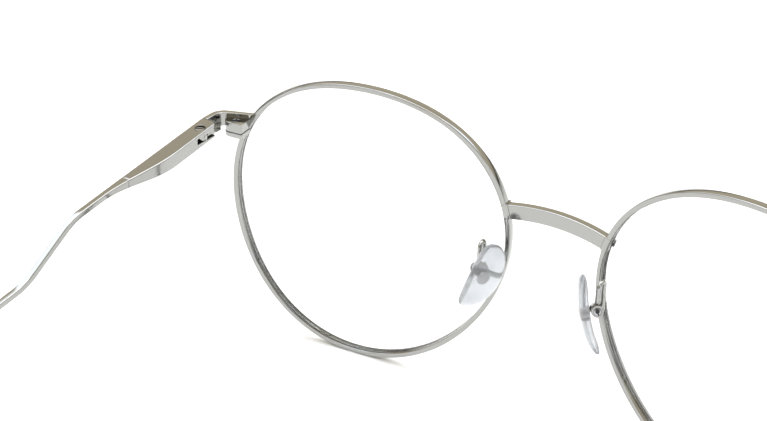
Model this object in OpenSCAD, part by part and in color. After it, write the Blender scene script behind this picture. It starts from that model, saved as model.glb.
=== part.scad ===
// Round wire eyeglasses: two closed metal rims, a flat bridge, end pieces with screw
// hinges, stepped wire temples with sleeve tips, and rocking nose pads.
// +X is the wearer's left, +Y runs back along the temples, +Z is up, in millimetres.

/* [Rims] */
// Mean radius of the rim wire's middle line
rim_radius = 24.9; // [20:0.1:30]
// Radial thickness of the rim wire
rim_wall = 0.85; // [0.75:0.05:1.5]
// Depth of the rim wire, front to back
rim_depth = 1.5; // [1.3:0.05:2.2]
// How much taller the upper outer side is than a circle, as a share of the radius
rim_lean = 0.022; // [0:0.002:0.04]
// How much flatter the top is than the bottom, as a share of the radius
rim_flat_top = 0.03; // [0:0.002:0.04]
// Width of the lens groove inside the rim
groove_width = 0.6; // [0.4:0.05:0.8]
// Depth of the lens groove inside the rim
groove_depth = 0.45; // [0.3:0.05:0.6]

/* [Front] */
// Distance between the two lens centres
lens_spacing = 66.2; // [60:0.2:76]
// Angle by which each lens plane wraps round the face
wrap_angle = 7.1; // [0:0.1:10]
// Radius of the lens front surface
lens_curve = 115; // [90:1:200]
// Thickness of a lens
lens_thickness = 1.3; // [1:0.1:1.4]
// Height of the bridge bar
bridge_height = 2.5; // [1.6:0.1:3]
// Thickness of the bridge bar
bridge_wall = 1.35; // [0.8:0.05:1.5]
// Height of the bridge above the lens centres
bridge_level = 8.75; // [6:0.05:11]
// How far the middle of the bridge stands forward of its ends
bridge_bow = 0.8; // [0.4:0.1:2]
// How far the middle of the bridge rises above its ends
bridge_rise = 0.75; // [0.2:0.05:2]

/* [End pieces and rim locks] */
// Height of the end piece strip
end_height = 2.5; // [2.4:0.1:3]
// Thickness of the end piece strip
end_wall = 1; // [0.8:0.05:1.2]
// Sideways distance from the rim to the outer face of the temple
end_reach = 2.2; // [1.6:0.1:4]
// Level of the end piece's lower edge above the lens centres
end_level = 12.2; // [10:0.1:13]
// Angle at which the end piece leaves the rim
end_angle = 24; // [10:1:35]
// Width of the saw cut that lets the rim open
lock_gap = 0.14; // [0.08:0.02:0.2]
// Length of the rim lock, measured away from the lens
lock_length = 3.7; // [3:0.1:3.9]
// Depth of the rim lock, front to back
lock_depth = 3; // [2.8:0.1:3.4]
// Radius of the lock screw's shank
lock_screw_r = 0.35; // [0.3:0.05:0.4]

/* [Hinges] */
// Radius of the hinge screw's shank
hinge_screw_r = 0.5; // [0.4:0.05:0.6]
// Radial clearance of the hinge screw in the hinge tongue
hinge_fit = 0.04; // [0.02:0.01:0.08]
// Thickness of the hinge tongue
tongue_height = 0.9; // [0.8:0.05:1]
// Gap above and below the hinge tongue
tongue_gap = 0.06; // [0.04:0.01:0.1]

/* [Temples] */
// Distance from the lens plane back to the hinge axis
hinge_depth = 11.4; // [10.5:0.1:14]
// Width of the temple at the hinge, side to side
temple_width = 3; // [2.8:0.1:3.6]
// Height of the temple at the hinge
temple_height = 2.5; // [2.4:0.1:3]
// Width and height of the temple wire
wire_size = 1; // [0.9:0.05:1.3]
// Length of the full-width part behind the hinge axis
temple_full = 7.6; // [6:0.1:12]
// Length over which the temple narrows to the wire
temple_taper = 15; // [10:1:25]
// Distance from the hinge axis back to the seam between front and wire
seam_offset = 17.2; // [12:0.1:20]
// Distance from the hinge axis back to the start of the step
step_start = 29.2; // [27:0.2:36]
// Length of the step
step_length = 10.7; // [9:0.1:16]
// Drop of the step
step_drop = 4.9; // [2:0.1:7]
// Downward angle of the temple
temple_angle = 7.2; // [3:0.1:10]
// Distance from the hinge axis back to the ear bend
ear_bend = 98; // [80:1:108]

/* [Temple tips] */
// Radius of the tip sleeve where it starts
sleeve_r = 1.25; // [1.1:0.05:1.6]
// Radius of the tip's rounded end
tip_r = 1.9; // [1.7:0.1:2.6]
// Length of the tip ahead of the ear bend
sleeve_lead = 14; // [8:1:20]
// Length of the tip behind the ear bend
tip_length = 34; // [30:1:45]
// Length of the wire core behind the ear bend
core_length = 20; // [10:1:24]

/* [Nose pads] */
// Length of a nose pad
pad_length = 12.8; // [11:0.2:15]
// Width of a nose pad
pad_width = 5.8; // [5.4:0.1:8]
// Thickness of a nose pad
pad_wall = 1.6; // [1.5:0.1:2]
// Distance from the middle of the glasses to a nose pad's centre
pad_offset = 9; // [8:0.1:11]
// Distance from the lens plane back to a nose pad's centre
pad_depth = 3.5; // [3:0.1:6]
// Level of a nose pad's centre, below the lens centres
pad_level = 0.7; // [0:0.1:4]
// Splay of a nose pad, open towards the back
pad_splay = 39; // [25:1:45]
// Tilt of a nose pad, closer together at the top
pad_tilt = 12; // [5:1:20]
// Forward lean of the top of a nose pad
pad_lean = 15; // [5:1:20]
// Diameter of the pad arm wire
arm_wire = 0.75; // [0.6:0.05:0.9]
// Length of the straight legs of the pad arm's loop
arm_leg = 3.6; // [3:0.1:5]
// Radius of the pad arm's loop
arm_loop_r = 0.85; // [0.7:0.05:1.2]
// Radius of the pad box
box_r = 0.95; // [0.85:0.05:1.2]
// Radius of the pad screw's shank
pad_screw_r = 0.3; // [0.25:0.05:0.35]

/* [Hidden] */

$fn = 48;
outline_steps = 96;
profile_step = 1;
seat_gap = 0.03;
over = 1;
joint_lap = 0.06;
joint_step = 0.01;

metal = [0.72, 0.70, 0.66];
clear_lens = [0.85, 0.92, 0.95, 0.35];
clear_pad = [0.93, 0.94, 0.95];
sleeve_grey = [0.25, 0.25, 0.26];

// Lens outline, as a polar curve about the lens centre; angle 0 points to the temple.
nose_flat = 0.0095;
corner_cut = 0.006;
function outline_r(a) = rim_radius * (1 - rim_lean * sin(2 * a) + rim_flat_top * sin(3 * a)
    - nose_flat * cos(3 * a) - corner_cut * cos(4 * a));
function outline_dr(a) = rim_radius * (-2 * rim_lean * cos(2 * a) + 3 * rim_flat_top * cos(3 * a)
    + 3 * nose_flat * sin(3 * a) + 4 * corner_cut * sin(4 * a));
function outline_normal(a) = let (n = [outline_r(a) * cos(a) + outline_dr(a) * sin(a),
    outline_r(a) * sin(a) - outline_dr(a) * cos(a)]) n / norm(n);
function outline_point(a, grow) = outline_r(a) * [cos(a), sin(a)] + grow * outline_normal(a);
function side_angle(z) = let (a = asin(z / rim_radius)) asin(z / outline_r(a));
function nose_angle(z) = let (a = 180 - asin(z / rim_radius)) 180 - asin(z / outline_r(a));
function outline(grow) = [for (i = [0:outline_steps - 1]) outline_point(360 * i / outline_steps, grow)];

rim_bottom = min([for (p = outline(rim_wall / 2)) p[1]]);
rim_outer_x = lens_spacing / 2 + max([for (p = outline(rim_wall / 2)) p[0]]) * cos(wrap_angle);

// Hinge and temple placement
temple_x = rim_outer_x + end_reach;
hinge_inset = 0.6;
hinge_x = temple_x - hinge_inset * temple_width;
end_top = end_level + end_height;
joint_gap = 0.15;
knuckle_share = 0.4;
nose_share = 0.87;
knuckle_r = knuckle_share * temple_width;
temple_nose = nose_share * temple_width;
end_back = hinge_depth - temple_nose - joint_gap;
head_spread = 1.7;
head_r = head_spread * hinge_screw_r;
head_height = 0.35;

// Upper surface of the temple: a falling line with one rounded step
step_y = hinge_depth + step_start;
bend_soft = 2;
function soft_ramp(u, b) = u < -b ? 0 : (u > b ? u : (u + b) * (u + b) / (4 * b));
function step_share(y) = (soft_ramp(y - step_y, bend_soft) - soft_ramp(y - step_y - step_length, bend_soft))
    / step_length;
function temple_top(y) = end_top - tan(temple_angle) * (y - end_back) - step_drop * step_share(y);
slope_probe = 0.1;
function temple_slope(y) = (temple_top(y + slope_probe) - temple_top(y - slope_probe)) / (2 * slope_probe);
function ease(t) = t <= 0 ? 0 : (t >= 1 ? 1 : t * t * (3 - 2 * t));
function taper(y) = ease((y - hinge_depth - temple_full) / temple_taper);
function temple_h(y) = (temple_height + (wire_size - temple_height) * taper(y))
    * sqrt(1 + pow(temple_slope(y), 2) * taper(y));
function temple_w(y) = temple_width + (wire_size - temple_width) * taper(y);
seam_y = hinge_depth + seam_offset;
bend_y = hinge_depth + ear_bend;
bend_r = 14;
bend_z = temple_top(bend_y) - wire_size / cos(temple_angle) / 2;
wire_x = temple_x - wire_size / 2;
core_share = 0.42;
core_r = core_share * wire_size;
hinge_top = temple_top(hinge_depth);
tongue_share = 0.54;
tongue_mid = hinge_top - tongue_share * temple_height;
screw_floor = 0.15;
screw_turn = 25;

// The tip bends down round a centre below the wire, by as much as brings it level with the rims.
tip_drop = bend_z - rim_bottom - tip_r;
tip_reach = norm([bend_r, tip_length]);
tip_slope = atan2(bend_r, tip_length) + asin((tip_drop - bend_r * cos(temple_angle)) / tip_reach);
tip_turn = tip_slope - temple_angle;
tip_end_y = bend_y + bend_r * (sin(tip_slope) - sin(temple_angle)) + tip_length * cos(tip_slope);

// Rim lock placement, in the frame of the lens
lock_z = end_level - lock_gap;
lock_above = 1.65;
lock_below = 0.95;
lock_top = end_level + lock_above;
lock_bottom = end_level - lock_below;
lock_angle = side_angle(end_level);
lock_inset = 0.45;
lock_x = outline_r(lock_angle) * cos(lock_angle) - lock_inset;
lock_front = 0.3;
lock_screw_share = [0.43, 0.62];
lock_screw_x = lock_x + lock_screw_share[0] * lock_length;
lock_screw_y = lock_front + lock_screw_share[1] * lock_depth;
lock_head_spread = 1.75;
lock_head_r = lock_head_spread * lock_screw_r;
lock_head_sink = 0.5;
lock_head_seat = lock_top - lock_head_sink;
lock_head_height = 0.35;
lock_screw_floor = 0.1;
lock_screw_turn = 60;

// Nose pad placement
pad_turn = [pad_lean, -pad_tilt, -pad_splay];
box_gap = 0.2;
box_x = pad_wall / 2 + box_r + box_gap;
box_z = 0.5;
pad_screw_turn = 35;
pad_curve = 22;
stem_r = 0.62;
box_half = 1;
stem_half = 0.42;
stem_gap = 0.07;
stem_neck = 0.32;
insert_wall = 0.5;
insert_share = [0.5, 0.34];
pad_share = [0.42, 0.58];
pad_power = [0.6, 0.85];
pad_head = 0.5;
arm_heading = -85;
foot_z = -3;
foot_angle = nose_angle(foot_z);
foot_bend = 55;
slot_width = 0.2;
head_sink = 0.12;
tongue_half = hinge_inset * temple_width - end_wall;
tongue_solder = 1.6;

function turn_x(v, a) = [v[0], v[1] * cos(a) - v[2] * sin(a), v[1] * sin(a) + v[2] * cos(a)];
function turn_y(v, a) = [v[0] * cos(a) + v[2] * sin(a), v[1], v[2] * cos(a) - v[0] * sin(a)];
function turn_z(v, a) = [v[0] * cos(a) - v[1] * sin(a), v[0] * sin(a) + v[1] * cos(a), v[2]];
function pad_point(v) = [pad_offset, pad_depth, -pad_level]
    + turn_z(turn_y(turn_x(v, pad_turn[0]), pad_turn[1]), pad_turn[2]);
function lens_point(v) = [lens_spacing / 2, 0, 0] + turn_z(v, wrap_angle);

// Whole-object placement: the middle of the box at the origin, the lowest points at 0
bridge_angle = nose_angle(bridge_level);
bridge_end = lens_point([outline_r(bridge_angle) * cos(bridge_angle), 0, 0]);
front_y = bridge_end[1] - bridge_bow - bridge_wall / 2;
back_y = tip_end_y + tip_r;
module placed() translate([0, -(front_y + back_y) / 2, -rim_bottom]) children();
module on_side(side) placed() mirror([side == "left" ? 0 : 1, 0, 0]) children();

// Frame of the left lens: x away from the nose, y back, z up
module at_lens() translate([lens_spacing / 2, 0, 0]) rotate([0, 0, wrap_angle]) children();

// Slab with the lens outline, grown outwards by grow, from depth y0 to y1
module plate(grow, y0, y1) {
    translate([0, y1, 0]) rotate([90, 0, 0]) linear_extrude(y1 - y0) polygon(outline(grow));
}

// Slab with an outline in the side view, from x0 to x1
module side_slab(points, x0, x1) {
    translate([x0, 0, 0]) rotate([90, 0, 90]) linear_extrude(x1 - x0) polygon(points);
}

// Cylinder along +Y, centred on its length
module cross_pin(r, half) rotate([90, 0, 0]) cylinder(r = r, h = 2 * half, center = true);

// Rim: a closed wire ring, grooved inside for the lens and sawn through at the lock
module rim(side) {
    color(metal) on_side(side) at_lens() difference() {
        plate(rim_wall / 2, -rim_depth / 2, rim_depth / 2);
        plate(-rim_wall / 2, -rim_depth / 2 - over, rim_depth / 2 + over);
        plate(groove_depth - rim_wall / 2, -groove_width / 2, groove_width / 2);
        translate([rim_radius / 2, -rim_depth, lock_z]) cube([rim_radius, 2 * rim_depth, lock_gap]);
    }
}

// Lens: a thin curved disc with a bevel that sits in the rim's groove
module lens(side) {
    edge = -rim_wall / 2 - seat_gap;
    bevel = groove_width / 2 - seat_gap;
    centre_y = sqrt(pow(lens_curve, 2) - pow(rim_radius, 2)) - rim_depth / 2;
    color(clear_lens) on_side(side) at_lens() {
        intersection() {
            plate(edge, -lens_curve / 10, rim_depth);
            translate([0, centre_y, 0]) difference() {
                sphere(lens_curve, $fn = 360);
                sphere(lens_curve - lens_thickness, $fn = 360);
            }
        }
        difference() {
            plate(edge + groove_depth, -bevel, bevel);
            plate(edge - bevel, -rim_depth, rim_depth);
        }
    }
}

// Space that both rims fill, for the pieces that are soldered to them
module rim_space(front, back) {
    at_lens() plate(rim_wall / 2, front, back);
}

// Bridge: a flat bar, bowed forwards and arched, with a saddle against each rim
module bridge() {
    blank = rim_radius / 2;
    bow_r = (pow(bridge_end[0], 2) + pow(bridge_bow, 2)) / (2 * bridge_bow);
    rise_r = (pow(bridge_end[0], 2) + pow(bridge_rise, 2)) / (2 * bridge_rise);
    saddle_reach = 0.55;
    color(metal) placed() {
        difference() {
            intersection() {
                translate([0, front_y + bow_r, 0]) difference() {
                    cylinder(r = bow_r, h = 2 * rim_radius, center = true, $fn = 360);
                    cylinder(r = bow_r - bridge_wall, h = 3 * rim_radius, center = true, $fn = 360);
                }
                translate([0, 0, bridge_level + bridge_rise - rise_r]) rotate([90, 0, 0]) difference() {
                    cylinder(r = rise_r + bridge_height / 2, h = rim_radius, center = true, $fn = 360);
                    cylinder(r = rise_r - bridge_height / 2, h = 2 * rim_radius, center = true, $fn = 360);
                }
                translate([-blank, -blank, 0]) cube([2 * blank, blank, rim_radius]);
            }
            for (m = [0, 1]) mirror([m, 0, 0]) rim_space(-rim_radius, rim_radius);
        }
        for (m = [0, 1]) mirror([m, 0, 0]) intersection() {
            at_lens() difference() {
                plate(rim_wall / 2 + saddle_reach, -rim_depth / 2, rim_depth / 2);
                plate(rim_wall / 2, -rim_depth, rim_depth);
            }
            translate([0, -rim_radius / 2, bridge_level - bridge_height / 2])
                cube([rim_radius, rim_radius, bridge_height]);
        }
    }
}

// End piece: a flat strip that leaves the rim sideways and turns back to the hinge
end_lift = side_angle(end_level + end_height / 2);
end_forward = 0.25;
end_start = lens_point([outline_r(end_lift) * cos(end_lift) - rim_wall, -end_forward, 0]);
end_bend_r = 2.2;
end_bend_x = temple_x - end_wall / 2 - end_bend_r;
end_run = (end_bend_x + end_bend_r * sin(end_angle) - end_start[0]) / cos(end_angle);
end_bend_y = end_start[1] + end_run * sin(end_angle) + end_bend_r * cos(end_angle);
end_steps = 12;
function end_side(shift) = concat(
    [[end_start[0] - shift * sin(end_angle), end_start[1] + shift * cos(end_angle)]],
    [for (i = [0:end_steps]) let (a = (end_angle - 90) * (1 - i / end_steps))
        [end_bend_x + (end_bend_r - shift) * cos(a), end_bend_y + (end_bend_r - shift) * sin(a)]],
    [[end_bend_x + end_bend_r - shift, end_back]]);
function reversed(list) = [for (i = [len(list) - 1:-1:0]) list[i]];
module end_strip(z0, z1) {
    translate([0, 0, z0]) linear_extrude(z1 - z0)
        polygon(concat(end_side(-end_wall / 2), reversed(end_side(end_wall / 2))));
}
module end_piece(side) {
    color(metal) on_side(side) difference() {
        end_strip(end_level, end_top);
        rim_space(-rim_depth, rim_depth);
    }
}

// Hinge tongue: the front's middle leaf, soldered inside the end piece
module hinge_tongue(side) {
    inner_x = hinge_x - tongue_half;
    color(metal) on_side(side) translate([0, 0, tongue_mid]) difference() {
        union() {
            translate([hinge_x, hinge_depth, 0]) cylinder(r = knuckle_r, h = tongue_height, center = true);
            translate([inner_x, end_back - tongue_solder, -tongue_height / 2])
                cube([temple_x - end_wall - inner_x, hinge_depth - end_back + tongue_solder, tongue_height]);
        }
        translate([hinge_x, hinge_depth, 0])
            cylinder(r = hinge_screw_r + hinge_fit, h = tongue_height + over, center = true);
    }
}

// Hinge screw: slotted, flush with the temple's top, turning in the tongue
module hinge_screw(side) {
    shank_bottom = hinge_top - temple_height + screw_floor;
    head_bottom = hinge_top - head_sink - head_height;
    color(metal) on_side(side) translate([hinge_x, hinge_depth, 0]) difference() {
        union() {
            translate([0, 0, shank_bottom])
                cylinder(r = hinge_screw_r, h = head_bottom - shank_bottom + seat_gap);
            translate([0, 0, head_bottom]) cylinder(r = head_r, h = head_height);
        }
        translate([0, 0, head_bottom + head_height]) rotate([0, 0, screw_turn])
            cube([3 * head_r, slot_width, head_height], center = true);
    }
}

// Rim lock halves: blocks soldered to the two ends of the rim, closed by a screw
module lock_block(z0, z1) {
    round_r = lock_depth / 2;
    difference() {
        at_lens() translate([lock_x, lock_front, z0]) {
            cube([lock_length - round_r, lock_depth, z1 - z0]);
            translate([lock_length - round_r, round_r, 0]) cylinder(r = round_r, h = z1 - z0);
        }
        rim_space(-rim_depth, rim_depth / 2);
        end_strip(lock_bottom - over, end_top + over);
    }
}
module lock_upper(side) {
    color(metal) on_side(side) difference() {
        lock_block(end_level, lock_top);
        at_lens() translate([lock_screw_x, lock_screw_y, 0]) {
            cylinder(r = lock_screw_r + seat_gap, h = lock_top);
            translate([0, 0, lock_head_seat]) cylinder(r = lock_head_r + seat_gap, h = over);
        }
    }
}
module lock_lower(side) {
    color(metal) on_side(side) difference() {
        lock_block(lock_bottom, lock_z);
        at_lens() translate([lock_screw_x, lock_screw_y, 0]) cylinder(r = lock_screw_r, h = lock_top);
    }
}
module lock_screw(side) {
    color(metal) on_side(side) at_lens() translate([lock_screw_x, lock_screw_y, 0]) difference() {
        union() {
            translate([0, 0, lock_bottom + lock_screw_floor])
                cylinder(r = lock_screw_r, h = lock_head_seat - lock_bottom);
            translate([0, 0, lock_head_seat]) cylinder(r = lock_head_r, h = lock_head_height);
        }
        translate([0, 0, lock_head_seat + lock_head_height]) rotate([0, 0, lock_screw_turn])
            cube([3 * lock_head_r, slot_width, lock_head_height], center = true);
    }
}

// Temple: a wide front with the hinge fork, then a square wire with one step
function steps(y0, y1) = concat([for (y = [y0:profile_step:y1 - profile_step / 2]) y], [y1]);
module temple_run(y0, y1) {
    ys = steps(y0, y1);
    intersection() {
        side_slab(concat([for (y = ys) [y, temple_top(y)]],
            [for (y = reversed(ys)) [y, temple_top(y) - temple_h(y)]]), temple_x - temple_width, temple_x);
        linear_extrude(4 * rim_radius, center = true) polygon(concat(
            [for (y = ys) [temple_x - temple_w(y), y]], [for (y = reversed(ys)) [temple_x, y]]));
    }
}
module temple_front(side) {
    nose_y = hinge_depth - temple_nose;
    reach = 3 * temple_width;
    slot_h = tongue_height + 2 * tongue_gap;
    color(metal) on_side(side) difference() {
        intersection() {
            temple_run(nose_y, seam_y);
            translate([hinge_x, hinge_depth, 0]) union() {
                cylinder(r = temple_nose, h = 2 * rim_radius);
                translate([temple_width / 6, -reach, 0]) cube([reach, 2 * reach, 2 * rim_radius]);
                translate([-reach, 0, 0]) cube([2 * reach, 3 * reach, 2 * rim_radius]);
            }
        }
        translate([hinge_x, hinge_depth, tongue_mid]) {
            cylinder(r = knuckle_r + tongue_gap, h = slot_h, center = true);
            translate([-reach, -reach, -slot_h / 2])
                cube([reach + tongue_half + tongue_gap, reach + tongue_half + tongue_gap, slot_h]);
        }
        translate([hinge_x, hinge_depth, 0]) {
            cylinder(r = hinge_screw_r, h = rim_radius);
            translate([0, 0, tongue_mid]) cylinder(r = hinge_screw_r + hinge_fit, h = rim_radius);
            translate([0, 0, hinge_top - head_sink - head_height])
                cylinder(r = head_r + seat_gap, h = rim_radius);
        }
    }
}

// Frame of the ear bend: y along the wire, z square to it
module at_bend() translate([wire_x, bend_y, bend_z]) rotate([-temple_angle, 0, 0]) children();
module past_bend() translate([0, 0, -bend_r]) rotate([-tip_turn, 0, 0]) translate([0, 0, bend_r]) children();
module along(r, length) rotate([-90, 0, 0]) cylinder(r = r, h = length);
module round_bend(r) {
    translate([0, 0, -bend_r]) rotate([0, -90, 0])
        rotate_extrude(angle = tip_turn) translate([bend_r, 0]) circle(r);
}
module bent_rod(r, lead, tail) at_bend() {
    translate([0, -lead, 0]) along(r - joint_step, lead + joint_lap);
    round_bend(r);
    past_bend() translate([0, -joint_lap, 0]) along(r - joint_step, tail + joint_lap);
}
module temple_wire(side) {
    color(metal) on_side(side) {
        temple_run(seam_y, bend_y - sleeve_lead * cos(temple_angle) - joint_lap);
        bent_rod(core_r, sleeve_lead + core_r, core_length);
    }
}

tip_facet = 10;
tip_profile = concat([[0, -joint_lap], [sleeve_r - joint_step, -joint_lap]],
    [for (a = [0:tip_facet:90 - tip_facet]) [tip_r * cos(a), tip_length + tip_r * sin(a)]],
    [[0, tip_length + tip_r]]);

// Tip: a plastic sleeve over the end of the wire, with a fuller rounded end
module temple_tip(side) {
    color(sleeve_grey) on_side(side) difference() {
        at_bend() {
            translate([0, -sleeve_lead, 0]) along(sleeve_r - joint_step, sleeve_lead + joint_lap);
            round_bend(sleeve_r);
            past_bend() rotate([-90, 0, 0]) rotate_extrude() polygon(tip_profile);
        }
        bent_rod(core_r + seat_gap, sleeve_lead + over, core_length + seat_gap);
    }
}

// Frame of the left nose pad: -x faces the nose, z runs up the pad, y back
module at_pad() translate([pad_offset, pad_depth, -pad_level]) rotate(pad_turn) children();
module at_box() at_pad() translate([box_x, 0, box_z]) children();

// Pad arm: a wire foot on the rim, a hairpin loop, and an end on the pad box
arm_start = pad_point([box_x, 0, box_z]);
arm_turn = 2 * arm_loop_r * [cos(arm_heading), sin(arm_heading)];
arm_drop = [arm_start[0] + arm_turn[0], arm_start[1] + arm_turn[1]];
foot = lens_point([outline_r(foot_angle) * cos(foot_angle), rim_depth / 2, 0]);
foot_way = [foot[0] - arm_drop[0], foot[1] - arm_drop[1]];
foot_run = (norm(foot_way) - arm_loop_r * (1 - cos(foot_bend))) / sin(foot_bend);
elbow_z = foot_z + foot_run * cos(foot_bend) + arm_loop_r * sin(foot_bend);
module pad_arm(side) {
    r = arm_wire / 2;
    thin = r - joint_step;
    loop_z = arm_start[2] + arm_leg;
    color(metal) on_side(side) difference() {
        union() {
            translate(arm_start) cylinder(r = thin, h = arm_leg + joint_lap);
            translate([arm_start[0] + arm_turn[0] / 2, arm_start[1] + arm_turn[1] / 2, loop_z])
                rotate([90, 0, arm_heading]) rotate_extrude(angle = 180) translate([arm_loop_r, 0]) circle(r);
            translate([arm_drop[0], arm_drop[1], elbow_z]) {
                translate([0, 0, -joint_lap]) cylinder(r = thin, h = loop_z - elbow_z + 2 * joint_lap);
                rotate([0, 0, atan2(foot_way[1], foot_way[0])]) translate([arm_loop_r, 0, 0]) {
                    rotate([90, 0, 0]) rotate([0, 0, 180]) rotate_extrude(angle = foot_bend)
                        translate([arm_loop_r, 0]) circle(r);
                    rotate([0, -foot_bend, 0]) translate([-arm_loop_r, 0, -foot_run - arm_wire])
                        cylinder(r = thin, h = foot_run + arm_wire + joint_lap);
                }
            }
        }
        at_box() cross_pin(box_r, box_half + arm_wire);
        at_lens() plate(2 * rim_wall, -rim_depth, rim_depth / 2);
    }
}

// Pad box: a round fork that holds the pad's stem on a cross screw
module pad_box(side) {
    slot_half = stem_half + stem_gap;
    color(metal) on_side(side) at_box() difference() {
        cross_pin(box_r, box_half);
        cross_pin(stem_r + stem_gap, slot_half);
        translate([-2 * box_r, -slot_half, -stem_r - stem_gap])
            cube([2 * box_r, 2 * slot_half, 2 * (stem_r + stem_gap)]);
        cross_pin(pad_screw_r, box_half + over);
        translate([0, box_half, 0]) cross_pin(2 * pad_screw_r + seat_gap, pad_head);
    }
}
module pad_screw(side) {
    color(metal) on_side(side) at_box() difference() {
        union() {
            cross_pin(pad_screw_r, box_half - pad_head / 2);
            translate([0, box_half - pad_head / 2, 0]) cross_pin(2 * pad_screw_r, pad_head / 2);
        }
        translate([0, box_half, 0]) rotate([0, pad_screw_turn, 0])
            cube([3 * box_r, pad_head, slot_width], center = true);
    }
}

// Pad insert: a stiff plate inside the pad, with the stem that the screw passes through
module insert_shape(grow) {
    translate([0, 0, box_z]) {
        cube([insert_wall, insert_share[0] * pad_width, insert_share[1] * pad_length]
            + 2 * grow * [1, 1, 1], center = true);
        translate([0, -stem_half - grow, -stem_neck - grow])
            cube([box_x, 2 * (stem_half + grow), 2 * (stem_neck + grow)]);
        translate([box_x, 0, 0]) cross_pin(stem_r + grow, stem_half + grow);
    }
}
module pad_insert(side) {
    color(metal) on_side(side) at_pad() difference() {
        insert_shape(0);
        translate([box_x, 0, box_z]) cross_pin(pad_screw_r + hinge_fit, box_half);
    }
}

// Nose pad: a clear soft pad, bowed towards the nose
pad_steps = 48;
function pad_edge(t) = cos(t) > 0
    ? [pad_share[0] * pad_width * pow(cos(t), pad_power[0]), pad_length / 2 * sin(t)]
    : [-pad_share[1] * pad_width * pow(-cos(t), pad_power[1]), pad_length / 2 * sin(t)];
module nose_pad(side) {
    color(clear_pad) on_side(side) at_pad() difference() {
        intersection() {
            side_slab([for (i = [0:pad_steps - 1]) pad_edge(360 * i / pad_steps)],
                -pad_wall, pad_wall + over);
            translate([pad_curve, 0, 0]) difference() {
                cross_pin(pad_curve + pad_wall / 2, pad_width, $fn = 180);
                cross_pin(pad_curve - pad_wall / 2, 2 * pad_width, $fn = 180);
            }
        }
        insert_shape(seat_gap);
    }
}

bridge();
rim("left");  // left_rim
rim("right");  // right_rim
lens("left");  // left_lens
lens("right");  // right_lens
end_piece("left");  // left_end_piece
end_piece("right");  // right_end_piece
hinge_tongue("left");  // left_hinge_tongue
hinge_tongue("right");  // right_hinge_tongue
lock_upper("left");  // left_lock_upper
lock_upper("right");  // right_lock_upper
lock_lower("left");  // left_lock_lower
lock_lower("right");  // right_lock_lower
lock_screw("left");  // left_lock_screw
lock_screw("right");  // right_lock_screw
hinge_screw("left");  // left_hinge_screw
hinge_screw("right");  // right_hinge_screw
temple_front("left");  // left_temple_front
temple_front("right");  // right_temple_front
temple_wire("left");  // left_temple_wire
temple_wire("right");  // right_temple_wire
temple_tip("left");  // left_temple_tip
temple_tip("right");  // right_temple_tip
pad_arm("left");  // left_pad_arm
pad_arm("right");  // right_pad_arm
pad_box("left");  // left_pad_box
pad_box("right");  // right_pad_box
pad_screw("left");  // left_pad_screw
pad_screw("right");  // right_pad_screw
pad_insert("left");  // left_pad_insert
pad_insert("right");  // right_pad_insert
nose_pad("left");  // left_nose_pad
nose_pad("right");  // right_nose_pad
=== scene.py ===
"""Round wire eyeglasses: polished metal front and folding temples, with clear lenses and pads."""
import math
from functools import partial

import bmesh
import bpy
from mathutils import Euler, Matrix, Vector


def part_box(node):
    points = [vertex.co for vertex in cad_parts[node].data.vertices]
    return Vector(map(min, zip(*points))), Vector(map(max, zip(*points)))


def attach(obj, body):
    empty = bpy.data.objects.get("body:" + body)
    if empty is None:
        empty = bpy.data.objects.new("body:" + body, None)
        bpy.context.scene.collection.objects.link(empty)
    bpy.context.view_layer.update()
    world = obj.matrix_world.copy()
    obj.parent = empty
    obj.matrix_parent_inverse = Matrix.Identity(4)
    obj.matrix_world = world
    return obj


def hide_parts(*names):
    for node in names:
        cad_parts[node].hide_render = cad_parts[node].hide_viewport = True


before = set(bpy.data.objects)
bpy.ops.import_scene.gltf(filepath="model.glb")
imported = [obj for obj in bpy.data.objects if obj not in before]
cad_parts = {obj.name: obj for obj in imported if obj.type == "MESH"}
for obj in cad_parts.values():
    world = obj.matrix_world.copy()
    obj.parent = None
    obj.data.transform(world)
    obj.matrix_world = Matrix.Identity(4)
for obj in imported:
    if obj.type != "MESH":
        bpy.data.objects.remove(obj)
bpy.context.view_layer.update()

# ------------ Where the glasses lie
# The front's own frame has its origin midway between the lens centres: +X to the wearer's left,
# +Y back along the temples and +Z up. Every size here is in millimetres until a mesh is made.
MM = 0.001
rim_radius = 24.9
rim_wall = 0.85
rim_lean = 0.022
rim_flat_top = 0.03
nose_flat = 0.0095
corner_cut = 0.006
lens_spacing = 66.2
wrap = math.radians(7.1)


def outline_radius(angle):
    """Distance from the lens centre to the middle line of the rim wire."""
    return rim_radius * (
        1
        - rim_lean * math.sin(2 * angle)
        + rim_flat_top * math.sin(3 * angle)
        - nose_flat * math.cos(3 * angle)
        - corner_cut * math.cos(4 * angle)
    )


def outline_point(angle, grow=0.0):
    """A point of the lens outline, and the way out of it, both in the plane of the lens."""
    step = 0.001
    radius = outline_radius(angle)
    slope = (outline_radius(angle + step) - outline_radius(angle - step)) / (2 * step)
    out = Vector((
        radius * math.cos(angle) + slope * math.sin(angle),
        radius * math.sin(angle) - slope * math.cos(angle),
    )).normalized()
    return Vector((radius * math.cos(angle), radius * math.sin(angle))) + grow * out, out


def height_angle(height, nose=False):
    """The angle at which the rim's middle line passes a height, on the temple's or the nose's side."""
    angle = math.asin(height / rim_radius)
    if nose:
        return math.pi - math.asin(height / outline_radius(math.pi - angle))
    return math.asin(height / outline_radius(angle))


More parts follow.
